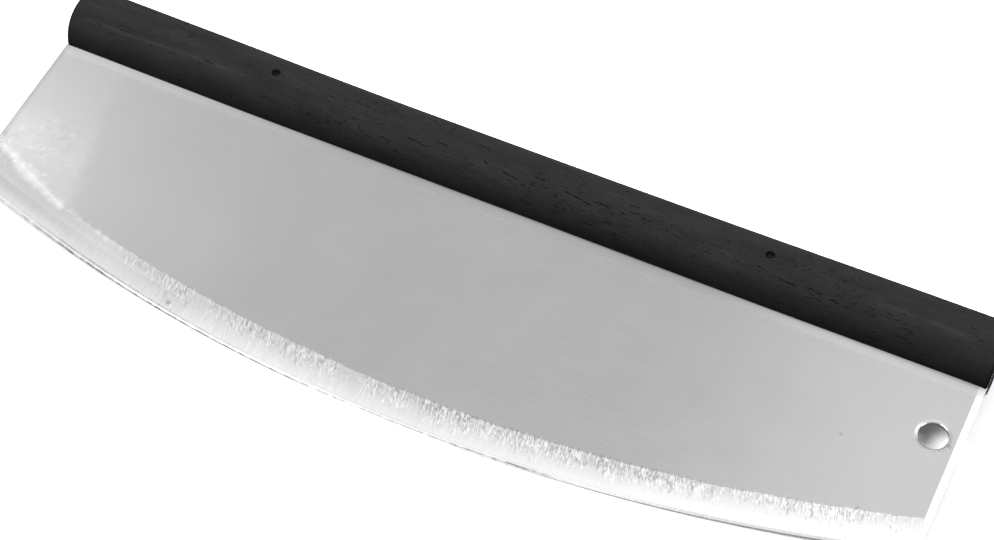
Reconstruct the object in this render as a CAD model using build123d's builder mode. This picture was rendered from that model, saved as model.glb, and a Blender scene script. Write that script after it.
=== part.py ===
from build123d import *
import math
import os

# A rocking pizza knife: a wide sheet of steel with a curved cutting edge, held in the
# sawn slot of a round wooden bar by two pins. It lies on its side on a flat surface at
# z = 0, touching it with the bar's round side and the middle of the cutting edge.
# X runs along the bar, +Y points from the cutting edge to the bar, and +Z is up.
# All lengths are in millimetres.

# Handle bar
handle_length = 355.0
handle_diameter = 25.0
handle_end_rounding = 1.2

# Blade sheet, with ends flush with the bar's
blade_thickness = 1.5
blade_drop = 93.5  # from the bar's surface to the middle of the cutting edge
tang_rise = 5.0  # from the bar's axis to the straight top of the sheet inside it
edge_radius = 585.0
corner_rounding = 2.0
end_ease_width = 2.3
end_ease_depth = 0.3

# Grind of the cutting edge, the same on both faces
grind_width = 12.0
hone_width = 1.0
hone_thickness = 0.6  # of the sheet where the hone begins
edge_thickness = 0.2

# Hanging hole near the blade's right end
hang_hole_diameter = 10.0
hang_hole_to_end = 10.0
hang_hole_to_handle = 24.0
hang_hole_chamfer = 0.3

# Slot that takes the sheet's top
slot_side_clearance = 0.1
slot_top_clearance = 0.3

# Pins through the bar and the sheet
pin_diameter = 3.2
pin_spacing = 190.0
pin_recess = 0.9
pin_end_chamfer = 0.3
pin_clearance = 0.05  # all round

cut_overrun = 5.0

# Sizes that follow
handle_radius = handle_diameter / 2
half_length = handle_length / 2
half_thickness = blade_thickness / 2
half_edge = edge_thickness / 2
edge_depth = handle_radius + blade_drop  # from the bar's axis to the cutting edge
edge_sag = edge_radius - math.sqrt(edge_radius**2 - half_length**2)
pin_hole_radius = pin_diameter / 2 + pin_clearance
pin_places = [(-pin_spacing / 2, 0), (pin_spacing / 2, 0)]

# Corners of the ground edge: depth from the bar's axis and half of the sheet's thickness
edge_corners = [
    (edge_depth, half_edge),
    (edge_depth - hone_width, hone_thickness / 2),
    (edge_depth - grind_width, half_thickness),
]
# The sheet leans until the first of them is level with the bar's underside
lean = min(
    math.asin(handle_radius / math.hypot(depth, half)) - math.atan(half / depth)
    for depth, half in edge_corners
)
lean_sin = math.sin(lean)
lean_cos = math.cos(lean)
handle_y = (edge_depth * lean_cos + half_edge * lean_sin - handle_radius) / 2

# The sheet's middle plane, through the bar's axis: local x along the bar, local y away
# from the cutting edge, local z out of the upper face
blade_plane = Plane(
    origin=(0, handle_y, handle_radius), x_dir=(1, 0, 0), z_dir=(0, -lean_sin, lean_cos)
)
# Across the sheet, through the centre of the cutting edge's arc
grind_plane = Plane(
    origin=blade_plane.from_local_coords((0, edge_radius - edge_depth, 0)),
    x_dir=blade_plane.y_dir,
    z_dir=blade_plane.x_dir,
)
# Square to the sheet's ends, through the bar's axis
end_plane = Plane(
    origin=blade_plane.origin, x_dir=blade_plane.x_dir, z_dir=blade_plane.y_dir
)

# Blade
with BuildPart() as blade:
    with BuildSketch(blade_plane) as outline:
        with BuildLine():
            end_line = Polyline(
                (-half_length, edge_sag - edge_depth),
                (-half_length, tang_rise),
                (half_length, tang_rise),
                (half_length, edge_sag - edge_depth),
            )
            ThreePointArc(end_line @ 1, (0, -edge_depth), end_line @ 0)
        make_face()
        fillet(outline.vertices().group_by(Axis.Y)[0], radius=corner_rounding)
    extrude(amount=half_thickness, both=True)

    # Shallow easing of both ends, on both faces
    with BuildSketch(end_plane):
        with BuildLine():
            ease_drop = end_ease_depth * (1 + cut_overrun / end_ease_width)
            Polyline(
                (half_length - end_ease_width, half_thickness),
                (half_length + cut_overrun, half_thickness - ease_drop),
                (half_length + cut_overrun, half_thickness + cut_overrun),
                (half_length - end_ease_width, half_thickness + cut_overrun),
                close=True,
            )
        make_face()
        mirror(about=Plane.XZ)
        mirror(about=Plane.YZ)
    extrude(amount=edge_depth + cut_overrun, both=True, mode=Mode.SUBTRACT)

    # Grind and hone, turned about the centre of the cutting edge's arc
    with BuildSketch(grind_plane):
        with BuildLine():
            Polyline(
                (grind_width - edge_radius, half_thickness),
                (hone_width - edge_radius, hone_thickness / 2),
                (-edge_radius, half_edge),
                (-edge_radius - cut_overrun, half_edge),
                (-edge_radius - cut_overrun, half_thickness + cut_overrun),
                (grind_width - edge_radius, half_thickness + cut_overrun),
                close=True,
            )
        make_face()
        mirror(about=Plane.XZ)
    revolve(axis=Axis(grind_plane.origin, blade_plane.z_dir), mode=Mode.SUBTRACT)

    with BuildSketch(blade_plane):
        with Locations(pin_places):
            Circle(pin_hole_radius)
        with Locations((half_length - hang_hole_to_end, -handle_radius - hang_hole_to_handle)):
            Circle(hang_hole_diameter / 2)
    extrude(amount=blade_thickness, both=True, mode=Mode.SUBTRACT)
    hole_rims = blade.edges().filter_by(GeomType.CIRCLE).filter_by(
        lambda rim: math.isclose(rim.radius, hang_hole_diameter / 2)
    )
    chamfer(hole_rims, length=hang_hole_chamfer)

blade.part.label = "blade"

# Handle
with BuildPart() as handle:
    with BuildSketch(Plane.YZ.offset(-half_length)):
        with Locations((handle_y, handle_radius)):
            Circle(handle_radius)
    extrude(amount=handle_length)
    fillet(handle.edges().filter_by(GeomType.CIRCLE), radius=handle_end_rounding)

    # Slot for the sheet, open below and at both ends
    slot_top = tang_rise + slot_top_clearance
    slot_bottom = -handle_radius - cut_overrun
    with BuildSketch(blade_plane):
        with Locations((0, (slot_top + slot_bottom) / 2)):
            Rectangle(handle_length + 2 * cut_overrun, slot_top - slot_bottom)
    extrude(amount=half_thickness + slot_side_clearance, both=True, mode=Mode.SUBTRACT)

    with BuildSketch(blade_plane):
        with Locations(pin_places):
            Circle(pin_hole_radius)
    extrude(amount=handle_radius + cut_overrun, both=True, mode=Mode.SUBTRACT)

handle.part.label = "handle"

# Pins, sunk a little below the bar's surface at both ends
pin_half_length = handle_radius - pin_recess
for pin_name, pin_place in zip(["left_handle_pin", "right_handle_pin"], pin_places):
    with BuildPart() as handle_pin:
        with BuildSketch(blade_plane):
            with Locations(pin_place):
                Circle(pin_diameter / 2)
        extrude(amount=pin_half_length, both=True)
        chamfer(handle_pin.edges().filter_by(GeomType.CIRCLE), length=pin_end_chamfer)
    handle_pin.part.label = pin_name
    os.makedirs("parts", exist_ok=True)
    export_step(handle_pin.part, f"parts/{pin_name}.step")

export_step(blade.part, "parts/blade.step")
export_step(handle.part, "parts/handle.step")
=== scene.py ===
import math

import bmesh
import bpy
import numpy as np
from mathutils import Matrix, Vector
from mathutils.geometry import delaunay_2d_cdt


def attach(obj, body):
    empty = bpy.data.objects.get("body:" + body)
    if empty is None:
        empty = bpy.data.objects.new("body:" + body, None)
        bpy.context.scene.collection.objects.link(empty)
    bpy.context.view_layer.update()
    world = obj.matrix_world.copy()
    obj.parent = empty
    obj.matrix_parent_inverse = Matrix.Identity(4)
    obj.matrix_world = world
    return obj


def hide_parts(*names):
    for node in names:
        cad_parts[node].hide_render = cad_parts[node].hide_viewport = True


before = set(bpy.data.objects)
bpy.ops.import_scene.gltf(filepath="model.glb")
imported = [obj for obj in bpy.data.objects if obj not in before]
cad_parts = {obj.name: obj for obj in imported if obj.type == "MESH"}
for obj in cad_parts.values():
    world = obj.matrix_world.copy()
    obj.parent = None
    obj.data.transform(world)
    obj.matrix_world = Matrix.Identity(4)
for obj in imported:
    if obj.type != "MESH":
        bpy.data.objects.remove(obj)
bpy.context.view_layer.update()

# A rocking pizza knife on its side. Lengths here are in millimetres and become metres
# when a mesh is made. A place on the knife is (x, depth, height): x along the bar, depth
# from the bar's axis towards the cutting edge, height square to the sheet from its middle.
# Angles round the bar start at the sheet and go over the bar's upper side.
MM = 0.001
HALF_LENGTH = 177.5
HANDLE_R = 12.5
HANDLE_Y = 46.396719
LEAN = math.radians(6.67341)
LEAN_SIN = math.sin(LEAN)
LEAN_COS = math.cos(LEAN)

HALF_THICK = 0.75
TANG_TOP = -5.0
EDGE_R = 585.0
EDGE_DEPTH = 106.0
ARC_DEPTH = EDGE_DEPTH - EDGE_R  # depth of the cutting edge's centre
CORNER_R = 2.0
CORNER_X = HALF_LENGTH - CORNER_R
EASE_WIDTH = 2.3
EASE_DEPTH = 0.3
EASE_X = HALF_LENGTH - EASE_WIDTH
GRIND_WIDTH = 12.0
HONE_WIDTH = 1.0
HALF_HONE = 0.3
HALF_EDGE = 0.1
HANG_X = 167.5
HANG_DEPTH = 36.5
HANG_R = 5.0
HOLE_CHAMFER = 0.3
HANG_RIM = HANG_R + HOLE_CHAMFER
PIN_X = 95.0
PIN_HOLE_R = 1.65

SLOT_HALF = 0.85
SLOT_TOP = -5.3
END_ROUND = 0.6


def to_world(x, depth, height):
    """Points in metres from places on the knife."""
    x, depth, height = np.broadcast_arrays(x, depth, height)
    y = HANDLE_Y - depth * LEAN_COS - height * LEAN_SIN
    z = HANDLE_R - depth * LEAN_SIN + height * LEAN_COS
    return np.stack([x, y, z], axis=-1) * MM


def ease(t):
    return t * t * (3 - 2 * t)


def smooth(low, high, value):
    """From 0 at low to 1 at high, without corners."""
    return ease(np.clip((value - low) / (high - low), 0, 1))


def window(value, low, high, soft):
    """1 between low and high, and 0 outside, with soft borders."""
    return smooth(low - soft, low + soft, value) * (1 - smooth(high - soft, high + soft, value))


def wave_noise(seed, cell, count):
    """Smooth noise of one number, about -1 to 1, as a function to call with positions."""
    values = np.random.default_rng(seed).uniform(-1, 1, count)

    def at(position):
        p = np.asarray(position, float) / cell
        low = np.floor(p).astype(int)
        t = ease(p - low)
        return values[low % count] * (1 - t) + values[(low + 1) % count] * t

    return at


def plane_noise(seed, cell):
    """Smooth noise of two numbers, about -1 to 1, with a cell size for each."""
    count = 97
    values = np.random.default_rng(seed).uniform(-1, 1, (count, count))

    def at(first, second):
        p, q = np.asarray(first, float) / cell[0], np.asarray(second, float) / cell[1]
        i, j = np.floor(p).astype(int), np.floor(q).astype(int)
        s, t = ease(p - i), ease(q - j)
        i, j, i1, j1 = i % count, j % count, (i + 1) % count, (j + 1) % count
        low = values[i, j] * (1 - s) + values[i1, j] * s
        high = values[i, j1] * (1 - s) + values[i1, j1] * s
        return low * (1 - t) + high * t

    return at


def pairs(loop):
    """Each entry of a closed loop with the next one."""
    return list(zip(loop, loop[1:] + loop[:1]))


def make_object(name, points, faces, material_index=None):
    mesh = bpy.data.meshes.new(name)
    mesh.from_pydata([tuple(p) for p in points.tolist()], [], faces)
    if material_index is not None:
        mesh.polygons.foreach_set("material_index", np.asarray(material_index, np.int32))
    mesh.validate()
    mesh.update()
    made = bpy.data.objects.new(name, mesh)
    bpy.context.scene.collection.objects.link(made)
    return made


def turn_faces_out(mesh):
    fix = bmesh.new()
    fix.from_mesh(mesh)
    bmesh.ops.recalc_face_normals(fix, faces=fix.faces)
    fix.to_mesh(mesh)
    fix.free()


def shade_smooth(mesh, sharp_degrees):
    mesh.polygons.foreach_set("use_smooth", np.ones(len(mesh.polygons), bool))
    mesh.set_sharp_from_angle(angle=math.radians(sharp_degrees))


def vertex_places(mesh):
    """x, depth and height of a mesh's vertices."""
    co = np.empty(len(mesh.vertices) * 3)
    mesh.vertices.foreach_get("co", co)
    x, y, z = co.reshape(-1, 3).T / MM
    depth = (HANDLE_Y - y) * LEAN_COS + (HANDLE_R - z) * LEAN_SIN
    height = (z - HANDLE_R) * LEAN_COS - (y - HANDLE_Y) * LEAN_SIN
    return x, depth, height


def give(mesh, name, values):
    """Stores one number for each vertex, which the materials read."""
    stored = mesh.attributes.new(name, "FLOAT", "POINT")
    stored.data.foreach_set("value", values.astype(np.float32))


# Blade: its outline and the ground band

STROKE_LEAN = 0.2216  # the grinding marks lean this much, in x per unit of depth
BAND_TOP = 18.4  # from the cutting edge to where the fine mesh of the ground band starts
BAND_EXTRA = 5.4  # how much wider the band is at the left end


def from_edge(x, depth):
    """Distance from the cutting edge."""
    return EDGE_R - np.hypot(x, depth - ARC_DEPTH)


def line_depth(x, rho):
    """Depth at x of the line that runs at the distance rho from the cutting edge."""
    return ARC_DEPTH + np.sqrt((EDGE_R - rho) ** 2 - x**2)


def bottom_depth(x):
    """Depth of the blade's outline below x: the cutting edge, then the rounded corners."""
    x = np.abs(x)
    centre_depth = ARC_DEPTH + math.sqrt((EDGE_R - CORNER_R) ** 2 - CORNER_X**2)
    touch = CORNER_X * EDGE_R / (EDGE_R - CORNER_R)
    arc = line_depth(np.minimum(x, touch), 0)
    past = np.maximum(x - CORNER_X, 0)
    corner = centre_depth + np.sqrt(np.maximum(CORNER_R**2 - past**2, 0))
    return np.where(x > touch, corner, arc)


def band_width(x):
    """The ground band is wider at its left end, where the wheel ran off."""
    return GRIND_WIDTH + BAND_EXTRA * smooth(132.0, 180.0, -x) ** 1.3


# Stretches of the band that are covered with strokes: share, from, to, softness
STROKE_STRETCHES = [
    (0.4, -112, -45, 14), (0.95, -22, 88, 16), (0.5, 108, 142, 9), (0.12, -135, 160, 12),
]
STROKE_ZONE = (2, 14)  # the strokes stay between these distances from the cutting edge
STROKE_TRIES = 17000
LONG_STROKES = 0.22  # this share of the strokes is longer than the others

# Columns of a table of strokes. A place is an x moved back along the lean; cut is a depth in
# the steel, and shine is how much brighter or darker than the band the stroke is: painted
# highlight and painted shade that stand in for the light on the stroke's cut sides.
PLACE, HALF_WIDE, MIDDLE, HALF_LONG, CUT, SKEW, SHINE = range(7)


def stroke_share(place):
    """How much of the band is covered with strokes, along its length."""
    return sum(share * window(place, *stretch) for share, *stretch in STROKE_STRETCHES)


def grind_marks(seed):
    """Short strokes left by the grinding wheel, one in each row."""
    r = np.random.default_rng(seed)
    place = r.uniform(-200, 172, STROKE_TRIES)
    middle = 12.3 - r.gamma(2.0, 1.15, STROKE_TRIES)
    gate = 0.6 + 0.4 * wave_noise(seed + 1, 5.0, 97)(place)
    gate = gate + 0.25 * wave_noise(seed + 9, 1.6, 211)(place)
    kept = gate * stroke_share(place) > r.uniform(0.05, 0.75, STROKE_TRIES)
    kept = kept & (middle > 4.5)
    place, middle = place[kept], middle[kept]
    n = len(place)
    long = r.random(n) < LONG_STROKES
    return np.stack([
        place,
        r.uniform(0.13, 0.32, n),
        middle,
        np.where(long, r.uniform(1.0, 1.8, n), r.uniform(0.3, 0.9, n)),
        r.uniform(0.002, 0.012, n),
        r.uniform(-0.6, 0.6, n),
        np.where(r.random(n) < 0.5, r.uniform(0.12, 0.5, n), -r.uniform(0.1, 0.42, n)),
    ], axis=1)


def lay_marks(marks, along, rho, column, add):
    """Adds up one column of the marks at each place, or takes their greatest value."""
    total = np.zeros_like(rho)
    order = np.argsort(along, kind="stable")
    order = order[(rho[order] > STROKE_ZONE[0]) & (rho[order] < STROKE_ZONE[1])]
    ranked = along[order]
    first = np.searchsorted(ranked, marks[:, PLACE] - marks[:, HALF_WIDE])
    last = np.searchsorted(ranked, marks[:, PLACE] + marks[:, HALF_WIDE])
    for mark, i, j in zip(marks, first, last):
        if i == j:
            continue
        near = order[i:j]
        across = (ranked[i:j] - mark[PLACE]) / mark[HALF_WIDE]
        ends = np.clip(1 - ((rho[near] - mark[MIDDLE]) / mark[HALF_LONG]) ** 2, 0, 1)
        shape = (1 - across**2) ** 2 * (1 + mark[SKEW] * across) * ends * mark[column]
        total[near] = total[near] + shape if add else np.maximum(total[near], shape)
    return total


# Spots in the band: x, distance from the cutting edge, size, tone
BAND_SPOTS = [
    (-136.2, 13.1, 1.3, 0.16), (-134.0, 12.7, 1.0, 0.2), (-131.5, 12.3, 1.1, 0.14),
    (-127.5, 12.6, 0.9, 0.18), (-122.8, 12.2, 1.2, 0.3), (-119.0, 11.7, 1.5, 0.2),
    (-115.6, 11.9, 1.3, 0.16), (-112.0, 11.6, 1.2, 0.18), (-85.9, 3.7, 1.0, -0.5),
    (-84.6, 3.2, 0.7, 0.25), (85.7, 9.5, 0.8, -0.35), (154.5, 12.9, 0.8, -0.3),
]
SPOT_FALL = 1.6

# Scuffs on the sheet, most at its left end: x, depth, half length, half width, turn, tone
SCUFFS = [
    (-166.6, 57.4, 1.9, 0.45, -12, 0.09), (-165.2, 59.0, 1.4, 0.4, -8, 0.07),
    (-160.6, 58.4, 2.1, 0.55, -20, 0.08), (-160.2, 59.8, 1.6, 0.5, -15, -0.05),
    (-159.2, 52.4, 3.4, 0.7, 62, -0.04), (-154.4, 50.2, 3.8, 0.8, -28, -0.05),
    (-151.2, 54.2, 3.0, 0.7, 70, -0.05), (-150.6, 58.4, 2.6, 0.6, 12, 0.05),
    (-153.8, 57.6, 2.4, 0.6, -40, 0.05), (-156.2, 65.2, 4.5, 1.3, -6, -0.05),
    (-169.0, 51.5, 2.6, 0.6, -35, 0.04), (-171.5, 33.5, 6.5, 0.9, 70, 0.03),
    (140.0, 48.5, 0.55, 0.45, 0, -0.3), (66.0, 66.0, 0.7, 0.4, 30, -0.06),
    (-23.0, 28.0, 5.0, 0.5, -64, 0.012), (12.0, 55.0, 7.0, 0.6, -70, 0.012),
    (173.4, 38.2, 0.9, 0.5, 50, -0.35),
]
SCUFF_BOW = 0.12


def small_scuffs(count):
    r = np.random.default_rng(7)
    places = r.uniform((-173, 42), (-147, 70), (count, 2))
    sizes = r.uniform((0.5, 0.3), (1.6, 0.5), (count, 2))
    turns = r.uniform(-80, 80, count)
    signs = r.choice((-0.8, 1.6), count)
    amounts = r.uniform(0.04, 0.14, count)
    return [(*place, *size, turn, sign * amount)
            for place, size, turn, sign, amount in zip(places, sizes, turns, signs, amounts)]


SCUFFS += small_scuffs(64)


def spot_tone(x, rho):
    tone = 0
    for px, pr, size, amount in BAND_SPOTS:
        away = (x - px) ** 2 + (rho - pr) ** 2
        tone = tone + amount * np.exp(-away / size**2 * SPOT_FALL)
    return tone


def scuff_tone(x, depth):
    tone = 0
    for px, pd, half_long, half_wide, turn, amount in SCUFFS:
        c, s = math.cos(math.radians(turn)), math.sin(math.radians(turn))
        u, v = (x - px) * c + (depth - pd) * s, (depth - pd) * c - (x - px) * s
        v = v + SCUFF_BOW * u**2 / half_long
        tone = tone + amount * np.exp(-(u / half_long) ** 2 - (v / half_wide) ** 2)
    return tone


class Face:
    """One face of the blade, with its own waves and grinding marks."""

    WAVES = (0.007, 0.0022)
    WAVE_ROOM = 0.0092  # the face lies lower by this, so that no wave leaves the CAD sheet
    BELLY = 0.0013  # the ground band bulges a little
    ROUGH = (0.004, 0.006, 0.003)
    ROUGH_ROOM = 0.012
    RIM_ROLL = (0.1, 0.9)  # depth and width

    def __init__(self, seed):
        self.marks = grind_marks(seed)
        self.slow = wave_noise(seed + 2, 11.0, 64)
        self.mid = wave_noise(seed + 3, 2.6, 256)
        self.fine = wave_noise(seed + 4, 0.75, 1024)
        self.sheet = [plane_noise(seed + 5, (34.0, 26.0)), plane_noise(seed + 6, (13.0, 11.0))]
        self.blotch = [plane_noise(seed + 7, (3.4, 2.4)), plane_noise(seed + 8, (1.1, 0.9))]

    def flat(self, x, depth):
        """Half the sheet's thickness where it isn't ground."""
        wave = self.WAVES[0] * self.sheet[0](x, depth) + self.WAVES[1] * self.sheet[1](x, depth)
        return HALF_THICK - self.WAVE_ROOM + wave

    def ground(self, x, depth):
        """Half the thickness that the grinding would leave."""
        rho = from_edge(x, depth)
        wide = band_width(x)
        hone = HALF_EDGE + (HALF_HONE - HALF_EDGE) * rho / HONE_WIDTH
        run = wide - HONE_WIDTH
        band = HALF_HONE + (HALF_THICK - HALF_HONE) * (rho - HONE_WIDTH) / run
        band = band + self.BELLY * np.maximum(rho - HONE_WIDTH, 0) * np.maximum(wide - rho, 0)
        along = x - STROKE_LEAN * depth
        noises = (self.slow, self.mid, self.fine)
        rough = sum(amount * noise(along) for amount, noise in zip(self.ROUGH, noises))
        cut = lay_marks(self.marks, along, rho, CUT, False)
        band = band + smooth(2.5, 8.5, rho) * (rough - self.ROUGH_ROOM) - cut
        return np.where(rho < HONE_WIDTH, hone, np.maximum(band, HALF_HONE))

    def half(self, x, depth):
        """Half the blade's thickness."""
        eased = HALF_THICK - EASE_DEPTH * (np.abs(x) - EASE_X) / EASE_WIDTH
        # The hanging hole's rim is rolled in a little where it was punched
        from_rim = np.hypot(x - HANG_X, depth - HANG_DEPTH) - HANG_R - HOLE_CHAMFER
        roll = self.RIM_ROLL[0] * np.clip(1 - from_rim / self.RIM_ROLL[1], 0, 1)
        flat = np.minimum(self.flat(x, depth) - roll, eased)
        return np.minimum(flat, self.ground(x, depth))

    def tone(self, x, depth):
        """How bright the steel is against its material, with 1 for unmarked steel. Besides the
        marks it holds painted highlights and painted shade.
        """
        rho = from_edge(x, depth)
        wide = band_width(x)
        in_band = 1 - smooth(wide - 0.3, wide + 0.3, rho)
        tone = self.stroke_tone(x, depth, rho, wide, in_band)
        tone = tone + self.left_end_tone(x, depth, rho, wide, in_band)
        tone = tone + spot_tone(x, rho) + self.hone_tone(x, rho, in_band)
        return 1 + tone + scuff_tone(x, depth)

    def stroke_tone(self, x, depth, rho, wide, in_band):
        along = x - STROKE_LEAN * depth
        share = stroke_share(along)
        # The strokes' shine is painted highlight and painted shade on their cut sides
        tone = np.clip(lay_marks(self.marks, along, rho, SHINE, True), -0.34, 0.36)
        # Between the strokes the upper part of the band is darker, in rounded patches
        patch = self.blotch[0](along * 1.2, rho) + 0.4 * self.blotch[1](along, rho)
        upper = smooth(6.5, 10.0, rho) * in_band
        tone = tone - 0.084 * smooth(-0.25, 0.45, patch) * upper * share
        # Small dark marks of painted shadow where strokes run out just above the band
        above = window(rho, wide - 0.2, wide + 0.9, 0.35) * share
        marks = smooth(0.25, 0.8, self.blotch[1](along * 1.3, rho * 0.8))
        return tone - above * (0.02 + 0.16 * marks)

    def left_end_tone(self, x, depth, rho, wide, in_band):
        # The ground band is darker there, with a bright line along its upper limit
        tone = -0.13 * smooth(118.0, 150.0, -x) * in_band * smooth(2.0, 6.0, rho)
        ragged = self.blotch[0](x * 1.3, depth) + 0.6 * self.blotch[1](x, depth)
        broad = 1.0 + 0.5 * self.slow(x) + 0.35 * ragged + 0.5 * window(x, -166, -150, 3)
        off = rho - wide + 0.4 - 0.4 * self.mid(x)
        line = np.exp(-(off / np.maximum(broad, 0.5)) ** 2)
        tone = tone + (0.32 + 0.1 * ragged) * line * window(x, -178, -139.5, 1.6)
        # The sheet is painted paler out to a ragged border, a painted reflection of a lamp, with
        # a thin dark line of painted shade along its end
        border = -155.1 + 0.22 * depth
        border = border + 0.9 * self.blotch[0](depth, x) + 0.5 * self.blotch[1](depth, x)
        painted_reflection = 0.025 + 0.075 * smooth(15, 62, depth)
        painted_reflection = painted_reflection + 0.1 * window(depth, 45, 64, 7) * (1 - 0.65 * smooth(-170, -155, x))
        tone = tone + painted_reflection * (1 - smooth(-2.4, 2.2, x - border)) * (1 - in_band)
        return tone - 0.22 * (1 - smooth(-177.35, -177.0, x)) * (1 - in_band)

    def hone_tone(self, x, rho, in_band):
        """Two thin dark lines of painted shade at the left, along the hone's steps, with a
        painted highlight line between; they thin out and meet.
        """
        low_line = 0.6 - 0.58 * smooth(-165, -65, x) + 0.48 * smooth(-50, -10, x)
        high_line = low_line + 1.2 - 0.35 * smooth(-120, -50, x)
        far_left = 1 - smooth(-62, -28, x)
        low_dark = (0.3 + 0.5 * smooth(-165, -125, x)) * far_left + 0.64 * window(x, -48, 62, 14)
        high_dark = (0.1 + 0.26 * window(x, -140, -45, 12)) * far_left + 0.04
        bright = 0.1 * (1 - smooth(-135, -115, x))
        tone = 0
        for centre, half, dark in ((low_line, 0.36, low_dark), (high_line, 0.34, high_dark),
                                   (low_line + 0.62, 0.3, -bright)):
            line = np.exp(-((rho - centre - 0.06 * self.mid(x)) / half) ** 2)
            tone = tone - line * dark * (1 + 0.3 * self.mid(x * 1.7))
        # The hone darkens to the right, and the band next to it to the left
        tone = tone - 0.08 * (1 - smooth(0.7, 1.0, rho)) * smooth(-10, 40, x)
        darker = 0.09 * (1 - smooth(-95, -60, x)) + 0.05 * (1 - smooth(-165, -150, x))
        return tone - darker * in_band * window(rho, 1.9, 7.5, 0.5)


# Blade: the mesh

# Holes through the sheet: x, depth, radius in its faces, points round it
HOLES = [
    (HANG_X, HANG_DEPTH, HANG_RIM, 96), (-PIN_X, 0, PIN_HOLE_R, 32), (PIN_X, 0, PIN_HOLE_R, 32),
]
GRID_STEP = 3.2
# Finer parts of the grid, for the scuffs: x, depth, half sizes, step
FINE_GRIDS = [(-159.4, 51.5, (15.4, 23.0), 0.55), (140.0, 48.5, (1.6, 1.6), 0.4)]
FINE_SHIFT = (0.11, 0.13)  # keeps their points off those of the loose grid
RIM_RINGS = (0.3, 0.6, 0.9, 1.25, 1.8)  # rings of points outside the hanging hole's rim
UV_SPAN = 400.0  # this length on the sheet takes the whole width of its UV map
UV_TOP = 0.9  # where depth 0 is in that map


def circle(x, depth, radius, turn):
    return x + radius * np.cos(turn), depth + radius * np.sin(turn)


def band_grid():
    """Points of the ground band, in rows from its seam with the flat part to the edge."""
    corner = CORNER_X + CORNER_R * np.cos(np.radians([68, 60, 50, 40, 30, 20, 10, 0]))
    inner = np.linspace(-EASE_X, EASE_X, 1701)
    outer = np.concatenate([[175.5, 175.8], corner])
    columns = np.concatenate([-outer[::-1], inner, outer])
    rho_rows = np.concatenate([
        np.linspace(BAND_TOP, HONE_WIDTH, 54), np.linspace(HONE_WIDTH, 0, 5)[1:]])
    share = 1 - rho_rows / BAND_TOP
    seam = line_depth(columns, BAND_TOP)
    depth = seam + (bottom_depth(columns) - seam) * share[:, None]
    return np.broadcast_to(columns, depth.shape), depth


def in_coarse_grid(x, depth):
    """Leaves room for the band, the holes and the fine grid."""
    if depth > line_depth(x, BAND_TOP) - 2.0:
        return False
    if any(math.hypot(x - hx, depth - hd) < hr + 2.2 for hx, hd, hr, _ in HOLES):
        return False
    return not (x < -144 and 28 < depth < 75)


def flat_part(seam_x, seam_d):
    """The sheet above the ground band, as triangles between its outline, its holes and a grid.

    Gives the points, the triangles and the points' numbers along the seam with the band,
    along the rest of the outline and round each hole.
    """
    xs, ds = list(seam_x), list(seam_d)
    seam = list(range(len(xs)))

    def add(points):
        first = len(xs)
        for x, depth in points:
            xs.append(x)
            ds.append(depth)
        return list(range(first, len(xs)))

    side_d = np.linspace(seam_d[-1], TANG_TOP, 24)[1:]
    rest = add([(HALF_LENGTH, d) for d in side_d])
    rest += add([(x, TANG_TOP) for x in np.linspace(HALF_LENGTH, -HALF_LENGTH, 90)[1:]])
    rest += add([(-HALF_LENGTH, d) for d in side_d[::-1][1:]])
    edges = pairs(seam + rest)
    rings = []
    for hx, hd, hr, count in HOLES:
        turn = np.arange(count) * 2 * math.pi / count
        rings.append(add(zip(*circle(hx, hd, hr, turn))))
        edges += pairs(rings[-1])
    # Lines where the eased ends begin
    for sign in (-1, 1):
        line = [int(np.argmin(np.abs(seam_x - sign * EASE_X)))]
        line_d = np.linspace(seam_d[-1] - 2, TANG_TOP + 0.5, 26)
        line += add([(sign * EASE_X, d) for d in line_d])
        edges += list(zip(line, line[1:]))
    for x in np.arange(-172, 173, GRID_STEP):
        add([(x, d) for d in np.arange(-3, 92, GRID_STEP) if in_coarse_grid(x, d)])
    turn = (np.arange(96) + 0.5) * 2 * math.pi / 96
    for ring in RIM_RINGS:
        add(zip(*circle(HANG_X, HANG_DEPTH, ring + HANG_RIM, turn)))
    for middle_x, middle_d, (reach_x, reach_d), step in FINE_GRIDS:
        for x in np.arange(middle_x - reach_x, middle_x + reach_x, step):
            for d in np.arange(middle_d - reach_d, middle_d + reach_d, step):
                if d < line_depth(x, BAND_TOP) - 0.8:
                    add([(x + FINE_SHIFT[0], d + FINE_SHIFT[1])])

    coords = [Vector(place) for place in zip(xs, ds)]
    out_points, _, out_faces, origins, _, _ = delaunay_2d_cdt(coords, edges, [], 0, 1e-7, True)
    number = {old: new for new, olds in enumerate(origins) for old in olds}
    points = np.array([(v.x, v.y) for v in out_points])
    triangles = []
    for face in out_faces:
        c = points[list(face)].mean(axis=0)
        if all(math.hypot(c[0] - hx, c[1] - hd) > hr for hx, hd, hr, _ in HOLES):
            triangles.append(tuple(face))
    seam, rest, *rings = [[number[k] for k in loop] for loop in (seam, rest, *rings)]
    return points, triangles, seam, rest, rings


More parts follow.
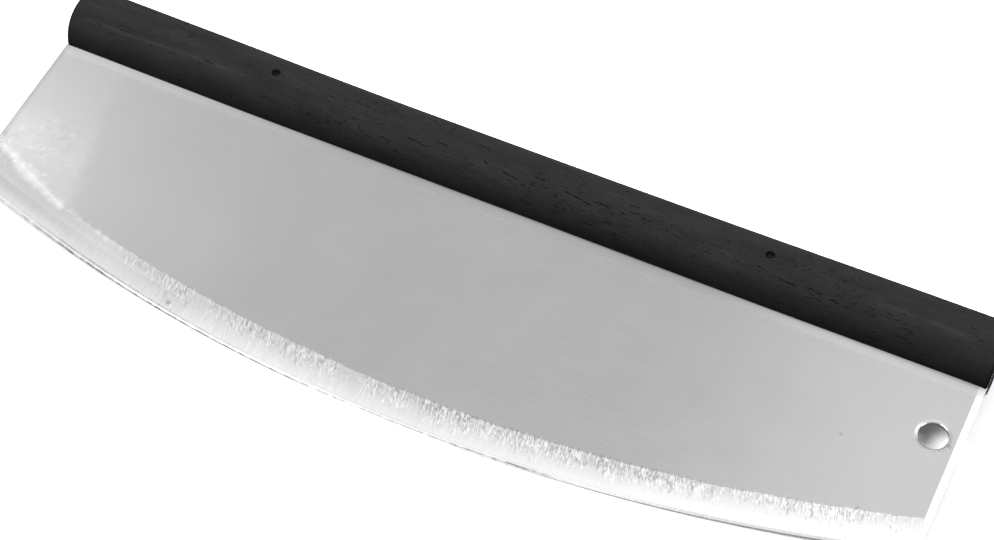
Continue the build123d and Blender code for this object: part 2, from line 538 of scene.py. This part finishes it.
def make_blade():
    grid_x, grid_d = band_grid()
    tall, wide = grid_d.shape
    flat, triangles, seam, rest, rings = flat_part(grid_x[0], grid_d[0])

    # Points of one face: the flat part, then the band's rows below the seam
    all_x = np.concatenate([flat[:, 0], grid_x[1:].ravel()])
    all_d = np.concatenate([flat[:, 1], grid_d[1:].ravel()])
    n_face = len(all_x)
    index = np.empty((tall, wide), int)
    index[0] = seam
    index[1:] = len(flat) + np.arange(wide * (tall - 1)).reshape(tall - 1, wide)

    sides = (Face(11), Face(61))
    points, faces, kinds = [], [], []
    for sign, base, side in zip((1, -1), (0, n_face), sides):
        half = side.half(all_x, all_d)
        ground = side.ground(all_x, all_d) < side.flat(all_x, all_d)
        points.append(to_world(all_x, all_d, sign * half))
        faces += [tuple(base + k for k in triangle[::sign]) for triangle in triangles]
        kinds += [0] * len(triangles)
        for i in range(tall - 1):
            for j in range(wide - 1):
                q = (index[i, j], index[i, j + 1], index[i + 1, j + 1], index[i + 1, j])
                kinds.append(int(ground[list(q)].sum() > 1))
                faces.append(tuple(base + int(k) for k in q[::sign]))
    # Faces between the two sides, round the outline and in the holes
    rim = [index[0, -1], *rest, index[0, 0], *index[1:, 0], *index[-1, 1:], *index[-2:0:-1, -1]]
    faces += [(a, b, b + n_face, a + n_face) for a, b in pairs([int(k) for k in rim])]
    for (hx, hd, hr, _), outer in zip(HOLES, rings):
        chain = [outer]
        if hr == HANG_RIM:
            turn = np.arctan2(flat[outer, 1] - hd, flat[outer, 0] - hx)
            for height in (HALF_THICK - HOLE_CHAMFER, HOLE_CHAMFER - HALF_THICK):
                first = sum(len(p) for p in points)
                points.append(to_world(*circle(hx, hd, HANG_R, turn), height))
                chain.append(list(range(first, first + len(outer))))
        chain.append([k + n_face for k in outer])
        for upper, lower in zip(chain, chain[1:]):
            faces += [(a, b, d, c) for (a, b), (c, d) in zip(pairs(upper), pairs(lower))]
    kinds += [0] * (len(faces) - len(kinds))

    blade = make_object("blade_dressed", np.concatenate(points), faces, kinds)
    mesh = blade.data
    turn_faces_out(mesh)
    shade_smooth(mesh, 5.5)
    x, depth, _ = vertex_places(mesh)
    # The sheet's own coordinates, so that brushing has a direction
    at_corner = np.empty(len(mesh.loops), np.int32)
    mesh.loops.foreach_get("vertex_index", at_corner)
    both = np.stack([x[at_corner] / UV_SPAN + 0.5, UV_TOP - depth[at_corner] / UV_SPAN], axis=1)
    uv = mesh.uv_layers.new(name="sheet")
    uv.data.foreach_set("uv", both.astype(np.float32).ravel())
    tone = np.ones(len(x))
    tone[:2 * n_face] = np.concatenate([side.tone(all_x, all_d) for side in sides])
    give(mesh, "tone", tone)
    # From 0 at the ground band's upper limit to 1 at the cutting edge
    give(mesh, "near_edge", 1 - np.clip(from_edge(x, depth) / GRIND_WIDTH, 0, 1))
    return blade


# Handle: a round wooden bar with a slot, shaped by hand, so that it isn't quite even

HANDLE_SKIN = 0.01  # the wood's even round lies this far inside the CAD bar's
HANDLE_DENT = 0.04  # and the hand-shaped one is on average this much lower
HANDLE_WAVES = [
    plane_noise(201, (46.0, 5.2)), plane_noise(202, (17.0, 3.4)), plane_noise(203, (5.0, 1.7)),
]
# Fields of open pores: x from and to, angle from and to, count
PORE_FIELDS = [
    (-52, -12, 20, 75, 26), (12, 82, 10, 100, 46), (92, 150, 20, 85, 36),
    (-172, -60, 15, 110, 22), (-172, 172, 5, 355, 150),
]
# Longer cracks: x, angle, half length, slope
CRACKS = [
    (-47, 48, 2.4, -0.06), (-35.6, 62, 4.0, -0.1), (-26.5, 73, 2.5, -0.12),
    (-12.4, 97, 2.2, 0.1), (-8.7, 68, 1.9, -0.5), (0.3, 64, 3.6, -0.12),
    (6, 55, 1.2, -0.2), (10.7, 76, 2.1, -0.2), (25.7, 67, 6.0, -0.13),
    (34.5, 71, 3.4, 0.1), (45.4, 88, 1.8, 0.1), (8.9, 31, 2.8, -0.05),
    (30.5, 32, 4.3, 0.15), (104, 57, 3.4, -0.1), (113, 60, 2.6, -0.1),
    (121, 56, 1.8, -0.1), (-120, 66, 2.2, -0.1),
]
# A chip in the bar: x, length round the bar, half length, half width, depth, slope
CHIP = (-137.4, math.radians(138) * HANDLE_R, 1.3, 2.7, 0.35, 0.0)
# Painted highlight streaks along the bar, where a lamp's reflection runs, and one of painted
# shade low at the front: x from and to, angle, half width in degrees, tone
PAINTED_STREAKS = [
    (-172, -101, 62, 3.2, 0.42), (132, 170, 75, 4.5, 0.32), (140, 177, 70, 22, 0.12),
    (20, 70, 12, 8, -0.2),
]


def open_pores():
    """Open pores in the wood, with the same six values as the chip."""
    r = np.random.default_rng(37)
    found = []
    for x0, x1, a0, a1, count in PORE_FIELDS:
        for _ in range(count):
            found.append((r.uniform(x0, x1), math.radians(r.uniform(a0, a1)) * HANDLE_R,
                          0.5 + r.gamma(2.0, 0.5), r.uniform(0.13, 0.28),
                          r.uniform(0.04, 0.12), r.uniform(-0.3, 0.12)))
    # Each crack is a row of three short ones out of line
    for x, angle, half_long, slope in CRACKS:
        for k in (-1, 0, 1):
            shift = k * 0.62 * half_long + r.uniform(-0.2, 0.2)
            arc = math.radians(angle) * HANDLE_R + slope * shift + r.uniform(-0.22, 0.22)
            found.append((x + shift, arc, 0.45 * half_long, r.uniform(0.25, 0.42),
                          r.uniform(0.16, 0.26), slope))
    return found + [CHIP]


PORES = open_pores()


def lay_pores(x, arc, in_mm):
    """Depth of the open pores, in millimetres or as a share of each pore's own."""
    shape = np.broadcast(x, arc).shape
    x, arc = np.broadcast_to(x, shape).ravel(), np.broadcast_to(arc, shape).ravel()
    total = np.zeros(len(x))
    order = np.argsort(x, kind="stable")
    ranked = x[order]
    for px, pore_arc, half_long, half_wide, deep, slope in PORES:
        i, j = np.searchsorted(ranked, (px - half_long, px + half_long))
        near = order[i:j]
        u = (x[near] - px) / half_long
        v = (arc[near] - pore_arc - slope * (x[near] - px)) / half_wide
        value = np.clip(1 - u**2 - v**2, 0, 1) * (deep if in_mm else 1.0)
        total[near] = np.maximum(total[near], value)
    return total.reshape(shape)


def handle_dent(x, arc):
    """How far the hand-shaped wood lies under an even round, at x and a length round it."""
    wave = 0.05 * HANDLE_WAVES[0](x, arc) + 0.02 * HANDLE_WAVES[1](x, arc)
    wave = wave + 0.006 * HANDLE_WAVES[2](x, arc)
    return np.clip(HANDLE_SKIN + HANDLE_DENT + wave, 0, None)


def handle_rings():
    """The bar's points: stations along it, each once round and then through the slot."""
    # The stations are closer together on the rounded ends
    turn = np.radians([0, 15, 30, 45, 60, 75])
    end_x = HALF_LENGTH - END_ROUND + END_ROUND * np.cos(turn)
    end_inset = END_ROUND - END_ROUND * np.sin(turn)
    middle = np.linspace(-(HALF_LENGTH - END_ROUND), HALF_LENGTH - END_ROUND, 860)
    x = np.concatenate([-end_x, middle, end_x[::-1]])[:, None]
    inset = np.concatenate([end_inset, np.zeros(len(middle)), end_inset[::-1]])[:, None]
    # From one lip of the slot to the other
    lip = math.asin(SLOT_HALF / HANDLE_R)
    far = 2 * math.pi - lip
    angles = np.concatenate([np.linspace(lip, 2.6, 190), np.linspace(2.6, far, 150)[1:]])
    arc = angles * HANDLE_R
    near_slot = np.minimum(angles - lip, far - angles)
    # The bar's ends taper a little towards the blade's side
    taper = np.where(x < 0, 0.5, 0.4) * smooth(90, HALF_LENGTH, np.abs(x))
    taper = taper * (1 - smooth(0.1, 1.0, near_slot))
    # Its far side is worn a little flat in the middle, and thicker towards the ends
    worn = 0.3 * (1 - smooth(15, 120, np.abs(x + 15))) * window(angles, 1.6, 3.1, 0.5)
    swell = 0.9 * smooth(50, 190, np.abs(x)) * np.exp(-(((angles - 2.58) / 0.33) ** 2))
    dent = handle_dent(x, arc) * smooth(0, 0.25, near_slot) + HANDLE_SKIN + taper + worn
    dent = dent + lay_pores(x, arc, True) - swell
    radius = HANDLE_R - inset - dent
    depth, height = radius * np.cos(angles), radius * np.sin(angles)
    # The lips stay at the slot's width
    height[:, 0], height[:, -1] = SLOT_HALF, -SLOT_HALF
    top = np.full_like(x, SLOT_TOP)
    depth = np.hstack([depth, depth[:, -1:] * 0.5, top, top, depth[:, :1] * 0.5])
    wall = np.full_like(x, SLOT_HALF)
    height = np.hstack([height, -wall, -wall, wall, wall])
    return to_world(x, depth, height)


def drill_pin_hole(handle, x):
    cutter = bpy.data.meshes.new("pin_hole_cutter")
    tool = bmesh.new()
    bmesh.ops.create_cone(tool, cap_ends=True, segments=40, radius1=PIN_HOLE_R * MM,
                          radius2=PIN_HOLE_R * MM, depth=40 * MM)
    tool.to_mesh(cutter)
    tool.free()
    cut = bpy.data.objects.new("pin_hole_cutter", cutter)
    bpy.context.scene.collection.objects.link(cut)
    cut.matrix_world = Matrix.Translation((x * MM, HANDLE_Y * MM, HANDLE_R * MM)) @ (
        Matrix.Rotation(LEAN, 4, "X"))
    boolean = handle.modifiers.new("pin_hole", "BOOLEAN")
    boolean.operation = "DIFFERENCE"
    boolean.solver = "EXACT"
    boolean.object = cut
    bpy.context.view_layer.update()
    graph = bpy.context.evaluated_depsgraph_get()
    result = bpy.data.meshes.new_from_object(handle.evaluated_get(graph))
    handle.modifiers.clear()
    handle.data = result
    bpy.data.objects.remove(cut)


def wood_tone(x, angle):
    """How bright the stained wood is against its material."""
    # Open pores are dark, with a painted highlight on one lip, and along the bar run painted
    # highlight streaks and one of painted shade
    arc = angle * HANDLE_R
    dark = lay_pores(x, arc, False)
    lit = lay_pores(x, arc - 0.3, False)
    tone = 1 - 0.74 * smooth(0.1, 0.7, dark) + 0.6 * np.clip(lit - 1.6 * dark, 0, 1)
    for low, high, at, half, amount in PAINTED_STREAKS:
        line = math.radians(at) + 0.03 * HANDLE_WAVES[1](x, 3.0) + 0.0009 * (x - low)
        painted_streak = np.exp(-((angle - line) / math.radians(half)) ** 2) * window(x, low, high, 9)
        tone = tone * (1 + amount * painted_streak * (0.75 + 0.5 * HANDLE_WAVES[2](x, arc)))
    # The end faces and their rounded rims are painted darker, painted shade that hides the rims'
    # highlight
    return tone * (1 - 0.5 * smooth(176.6, 177.1, np.abs(x)))


def make_handle():
    rings = handle_rings()
    stations, around, _ = rings.shape
    faces = []
    for a in range(0, (stations - 1) * around, around):
        b = a + around
        faces += [(a + k, a + m, b + m, b + k) for k, m in pairs(list(range(around)))]
    faces.append(tuple(range(around))[::-1])
    faces.append(tuple(range((stations - 1) * around, stations * around)))
    handle = make_object("handle_dressed", rings.reshape(-1, 3), faces)
    turn_faces_out(handle.data)
    for x in (-PIN_X, PIN_X):
        drill_pin_hole(handle, x)
    mesh = handle.data
    shade_smooth(mesh, 30)
    x, depth, height = vertex_places(mesh)
    angle = np.arctan2(height, depth)
    # From 0 at the slot to 1 at the far side of the bar
    give(mesh, "from_slot", np.abs(angle) / math.pi)
    give(mesh, "tone", wood_tone(x, np.where(angle < 0, angle + 2 * math.pi, angle)))
    return handle


blade = make_blade()
handle = make_handle()
for piece, node, slot in ((blade, "blade", "blade_steel"), (handle, "handle", "stained_wood")):
    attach(piece, "root")
    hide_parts(node)


# Materials. Their places are in metres, and their depths on the sheet in millimetres.

class Nodes:
    """Adds shader nodes by name and links them in short form."""

    def __init__(self, tree):
        self.tree = tree
        tree.nodes.clear()

    def add(self, kind, inputs=None, **settings):
        node = self.tree.nodes.new(kind)
        for key, value in settings.items():
            setattr(node, key, value)
        for key, value in (inputs or {}).items():
            socket = node.inputs[key]
            if isinstance(value, bpy.types.NodeSocket):
                self.tree.links.new(value, socket)
            else:
                socket.default_value = value
        return node

    def math(self, operation, *values, clamp=False):
        node = self.add("ShaderNodeMath", dict(enumerate(values)), operation=operation)
        node.use_clamp = clamp
        return node.outputs[0]

    def product(self, first, *others):
        for other in others:
            first = self.math("MULTIPLY", first, other)
        return first

    def vector(self, operation, *values):
        node = self.add("ShaderNodeVectorMath", dict(enumerate(values)), operation=operation)
        return node.outputs["Value" if operation == "LENGTH" else "Vector"]

    def ramp(self, value, low, high, start=0.0, end=1.0, shape="LINEAR"):
        node = self.add("ShaderNodeMapRange", {
            "Value": value, "From Min": low, "From Max": high, "To Min": start, "To Max": end},
            interpolation_type=shape)
        return node.outputs[0]

    def place(self):
        return self.add("ShaderNodeTexCoord").outputs["Object"]

    def stored(self, name):
        return self.add("ShaderNodeAttribute", attribute_name=name).outputs["Fac"]

    def noise(self, vector, scale, detail=2.0, rough=0.5, output="Fac"):
        """Noise of one scale, or of one for each axis."""
        if isinstance(scale, tuple):
            vector = self.add("ShaderNodeMapping", {"Vector": vector, "Scale": scale}).outputs[0]
            scale = 1.0
        node = self.add("ShaderNodeTexNoise", {
            "Vector": vector, "Scale": scale, "Detail": detail, "Roughness": rough})
        return node.outputs[output]

    def vary(self, noise, start, end):
        """Noise stretched between two values; nearly all of it lies from 0.3 to 0.7."""
        return self.ramp(noise, 0.3, 0.7, start, end)

    def bump(self, height, strength, distance):
        return self.add("ShaderNodeBump", {
            "Height": height, "Strength": strength, "Distance": distance}).outputs[0]

    def surface(self, kind, inputs):
        """Adds the last shader and the material's output."""
        shader = self.add(kind, inputs)
        self.add("ShaderNodeOutputMaterial", {"Surface": shader.outputs[0]})


def new_material(name):
    material = bpy.data.materials.new(name)
    material.use_nodes = True
    return material, Nodes(material.node_tree)


def matt_strip(n, place):
    """A thin strip along the bar that the polishing wheel can't reach.

    Gives where it is, from 0 to 1, and how much brighter than the sheet it is.
    """
    uv = n.add("ShaderNodeUVMap", uv_map="sheet").outputs[0]
    v = n.add("ShaderNodeSeparateXYZ", {0: uv}).outputs["Y"]
    depth = n.ramp(v, UV_TOP, UV_TOP - 0.5, 0.0, UV_SPAN / 2)
    ragged = n.vary(n.noise(place, 260.0), -0.12, 0.12)
    strip = n.ramp(n.math("ADD", depth, ragged), 14.8, 18.2, 1.0, 0.0, "SMOOTHSTEP")
    along = n.add("ShaderNodeSeparateXYZ", {0: place}).outputs["X"]
    near_end = n.ramp(n.math("ABSOLUTE", along), 0.1, 0.17, 0.0, 0.5)
    strip = n.product(strip, n.ramp(n.math("ADD", depth, near_end), 12.85, 13.15))
    # Painted shade: the strip is darker against the bar, a painted contact shadow, but not at
    # the left end
    contact_shade = n.product(n.ramp(depth, 12.7, 14.0, 0.3, 0.0), n.ramp(along, -0.12, -0.05))
    # The strip is painted paler towards both ends and over the right end's eased facet: painted
    # reflection where the lamps light the ends
    paler = n.product(
        n.ramp(along, -0.17, -0.06, 2.15, 1.47), n.ramp(along, 0.075, 0.13, 1.0, 1.5),
        n.math("SUBTRACT", 1.0, contact_shade), n.ramp(along, 0.1748, 0.1754, 1.0, 1.45))
    return strip, paler


def steel(name, levels, roughness, anisotropy, rotation, streak_scale, streak, strip_on_it):
    """Steel from one level of brightness at the band's upper limit to another at the edge. In
    the ground band the rise is partly its paler finish and partly a painted highlight where the
    grind's tilt catches more light.
    """
    material, n = new_material(name)
    place = n.place()
    streaks = n.noise(place, streak_scale, 3.0, 0.6)
    cloud = n.noise(place, 55.0, 3.0, 0.55)
    value = n.product(
        n.vary(streaks, 1 - streak, 1 + streak), n.vary(cloud, 0.985, 1.015),
        n.ramp(n.stored("near_edge"), 0.15, 0.8, *levels), n.stored("tone"))
    rough = n.math("ADD", n.vary(streaks, *roughness), n.vary(cloud, -0.01, 0.01))
    metal = 1.0
    if strip_on_it:
        strip, paler = matt_strip(n, place)
        value = n.product(value, n.add("ShaderNodeMix", {
            "Factor": n.math("POWER", strip, 1.15), 2: 1.0, 3: paler}).outputs[0])
        metal = n.math("SUBTRACT", 0.998, n.product(strip, 0.918))
        rough = n.math("ADD", rough, n.product(strip, 0.4))
    tangent = n.add("ShaderNodeTangent", direction_type="UV_MAP", uv_map="sheet")
    n.surface("ShaderNodeBsdfPrincipled", {
        "Base Color": value, "Metallic": metal, "Roughness": rough, "Anisotropic": anisotropy,
        "Anisotropic Rotation": rotation, "Tangent": tangent.outputs[0],
        "Normal": n.bump(streaks, 0.03, 0.00005)})
    return material


def stained_wood():
    material, n = new_material("black_stained_wood")
    place = n.place()
    # The grain wanders a little along the bar
    bend = n.noise(place, (25.0, 60.0, 60.0), output="Color")
    place = n.vector("ADD", place, n.vector("MULTIPLY", bend, (0.004, 0.0022, 0.0022)))
    fibre = n.noise(place, (110.0, 1100.0, 1100.0), 4.0, 0.65)
    cloud = n.noise(place, (45.0, 160.0, 160.0), 4.0, 0.65)
    fleck = n.noise(place, (420.0, 1900.0, 1900.0), 2.0, 0.55)
    crowd = n.ramp(n.noise(place, (30.0, 110.0, 110.0)), 0.35, 0.65, 0.71, 0.6)
    pores = n.ramp(n.math("SUBTRACT", fleck, crowd), 0.0, 0.045)
    # Painted shade: the wood is painted darker towards the slot, on the bar's front that faces
    # away from the lamps
    slot_shade = n.math("POWER", n.ramp(n.stored("from_slot"), 0.0, 0.3), 1.2)
    colour = n.product(
        n.vary(fibre, 0.039, 0.049), n.ramp(slot_shade, 0.0, 1.0, 0.22, 1.0),
        n.vary(cloud, 0.8, 1.2), n.stored("tone"), n.ramp(pores, 0.0, 1.0, 1.0, 0.55))
    height = n.math("SUBTRACT", n.product(fibre, 0.3), pores)
    n.surface("ShaderNodeBsdfPrincipled", {
        "Base Color": colour, "Specular IOR Level": 0.06,
        "Roughness": n.math("ADD", n.vary(fibre, 0.68, 0.84), n.product(pores, 0.15)),
        "Normal": n.bump(height, 0.8, 0.00022)})
    return material


def dark_pin_steel():
    material, n = new_material("dark_pin_steel")
    spots = n.noise(n.place(), 1400.0, 3.0, 0.6)
    n.surface("ShaderNodeBsdfPrincipled", {
        "Base Color": n.vary(spots, 0.004, 0.016), "Metallic": 1.0,
        "Roughness": n.vary(spots, 0.45, 0.65), "Normal": n.bump(spots, 0.4, 0.0001)})
    return material


# The blade's two materials are in the order of its faces' kinds: the flat part, the band
blade.data.materials.append(steel(
    "satin_steel", levels=(0.43, 0.43), roughness=(0.1, 0.19), anisotropy=0.4, rotation=0.25,
    streak_scale=(60.0, 2600.0, 2600.0), streak=0.007, strip_on_it=True))
# The band's levels rise towards the edge: partly its paler ground finish, partly a painted
# highlight
blade.data.materials.append(steel(
    "ground_steel", levels=(0.56, 0.74), roughness=(0.18, 0.32), anisotropy=0.3, rotation=0.0,
    streak_scale=(2200.0, 90.0, 400.0), streak=0.012, strip_on_it=False))
handle.data.materials.clear()
handle.data.materials.append(stained_wood())
pin_material = dark_pin_steel()
for node in ("left_handle_pin", "right_handle_pin"):
    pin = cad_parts[node]
    pin.data.materials.clear()
    pin.data.materials.append(pin_material)


# Floor, world, lamps and camera

FLOOR_HALF = 3.0  # metres
FLOOR_SEEN = 2.2  # how much brighter the camera sees the floor than the lamps make it
# Soft panels: centre, size, radiance against a white of 1, and whether it is aimed at the
# knife or level
LAMPS = {
    "key": ((-330, -430, 800), (600, 450), 4.1, False),
    "overhead": ((-330, -175, 800), (450, 350), 1.5, False),
    "back": ((-100, 750, 700), (500, 300), 3.0, True),
    "back_right": ((520, 320, 750), (400, 400), 2.5, True),
    "right": ((780, -60, 680), (300, 300), 3.0, True),
}
# A ceiling of level panels that the blade mirrors: x from and to, y from and to, radiance
CEILING = [
    (-760, -585, 250, 480, 0.1), (-760, -555, 250, 480, 0.12), (-760, -500, 250, 480, 0.08),
    (-760, -420, 250, 480, 0.1), (-760, -535, 250, 365, 0.15), (-760, -545, 250, 335, 0.16),
    (-535, -420, 250, 350, 0.12), (-420, -330, 250, 480, 0.03), (-1010, -850, 340, 560, 0.55),
    (-90, 250, 272, 480, 0.08), (-40, 250, 272, 480, 0.09), (5, 250, 272, 480, 0.12),
    (40, 250, 272, 480, 0.1), (95, 250, 272, 480, 0.05), (250, 420, 200, 480, 1.6),
    (-400, 260, 110, 250, 0.1), (-250, 260, 110, 250, 0.1), (-130, 260, 120, 262, 0.15),
    (-40, 260, 130, 262, 0.3), (40, 260, 150, 262, 0.12),
]
CEILING_HEIGHT = 800
CEILING_STEP = 3  # between panels, since of those that overlap in one plane only one shows
# The camera that took the photo, fitted to the knife's edges: its place and its axes
CAMERA_LENS = 84.37
CAMERA_PLACE = (0.21684639, -0.46424553, 0.61773475)
CAMERA_RIGHT = (0.90197065, 0.43081224, 0.02915081)
CAMERA_UP = (-0.34572168, 0.68007474, 0.64650976)
CAMERA_BACK = (0.25869959, -0.59321089, 0.76234858)


def make_floor():
    corners = FLOOR_HALF * np.array([(-1, -1, 0), (1, -1, 0), (1, 1, 0), (-1, 1, 0)])
    floor = make_object("floor", corners, [(0, 1, 2, 3)])
    material, n = new_material("white_floor")
    seen = n.add("ShaderNodeLightPath").outputs["Is Camera Ray"]
    place = n.place()
    level = n.math("ADD", n.vary(n.noise(place, 3.0), 0.79, 0.81), n.product(seen, FLOOR_SEEN))
    diffuse = n.add("ShaderNodeBsdfDiffuse", {"Color": level})
    # Away from the knife the camera sees the floor as white as the world behind it
    white = n.add("ShaderNodeEmission", {
        "Strength": n.product(seen, n.ramp(n.vector("LENGTH", place), 0.3, 0.6))})
    n.surface("ShaderNodeAddShader", {0: diffuse.outputs[0], 1: white.outputs[0]})
    material.cycles.emission_sampling = "NONE"
    floor.data.materials.append(material)


def make_world():
    """White for the camera and in mirrored views, but it lights little else."""
    world = bpy.data.worlds.new("studio")
    bpy.context.scene.world = world
    world.use_nodes = True
    n = Nodes(world.node_tree)
    path = n.add("ShaderNodeLightPath").outputs
    seen = n.math("ADD", n.math("ADD", path["Is Camera Ray"], path["Is Glossy Ray"]),
                  path["Is Transmission Ray"], clamp=True)
    background = n.add("ShaderNodeBackground", {
        "Color": (1, 1, 1, 1), "Strength": n.ramp(seen, 0.0, 1.0, 0.1, 1.0)})
    n.add("ShaderNodeOutputWorld", {"Surface": background.outputs[0]})


def soft_lamp(name, centre, size, radiance, aimed):
    light = bpy.data.lights.new(name, "AREA")
    light.shape = "RECTANGLE"
    light.size, light.size_y = size[0] * MM, size[1] * MM
    light.energy = radiance * size[0] * size[1] * MM * MM * math.pi
    lamp = bpy.data.objects.new(name, light)
    lamp.location = [c * MM for c in centre]
    if aimed:
        lamp.rotation_euler = (-lamp.location).to_track_quat("-Z", "Y").to_euler()
    lamp.visible_camera = False
    bpy.context.scene.collection.objects.link(lamp)


def make_camera():
    data = bpy.data.cameras.new("photo_camera")
    camera = bpy.data.objects.new("photo_camera", data)
    bpy.context.scene.collection.objects.link(camera)
    data.sensor_width = 36.0
    data.lens = CAMERA_LENS
    data.clip_start, data.clip_end = 0.01, 20.0
    turn = Matrix((CAMERA_RIGHT, CAMERA_UP, CAMERA_BACK)).transposed().to_4x4()
    camera.matrix_world = Matrix.Translation(CAMERA_PLACE) @ turn
    bpy.context.scene.camera = camera


make_floor()
make_world()
for name, lamp in LAMPS.items():
    soft_lamp(name, *lamp)
for k, (x0, x1, y0, y1, radiance) in enumerate(CEILING):
    centre = ((x0 + x1) / 2, (y0 + y1) / 2, CEILING_HEIGHT + CEILING_STEP * k)
    soft_lamp(f"ceiling_{k:02d}", centre, (x1 - x0, y1 - y0), radiance, aimed=False)
make_camera()

bpy.context.scene.view_settings.view_transform = "Standard"

bpy.context.view_layer.update()
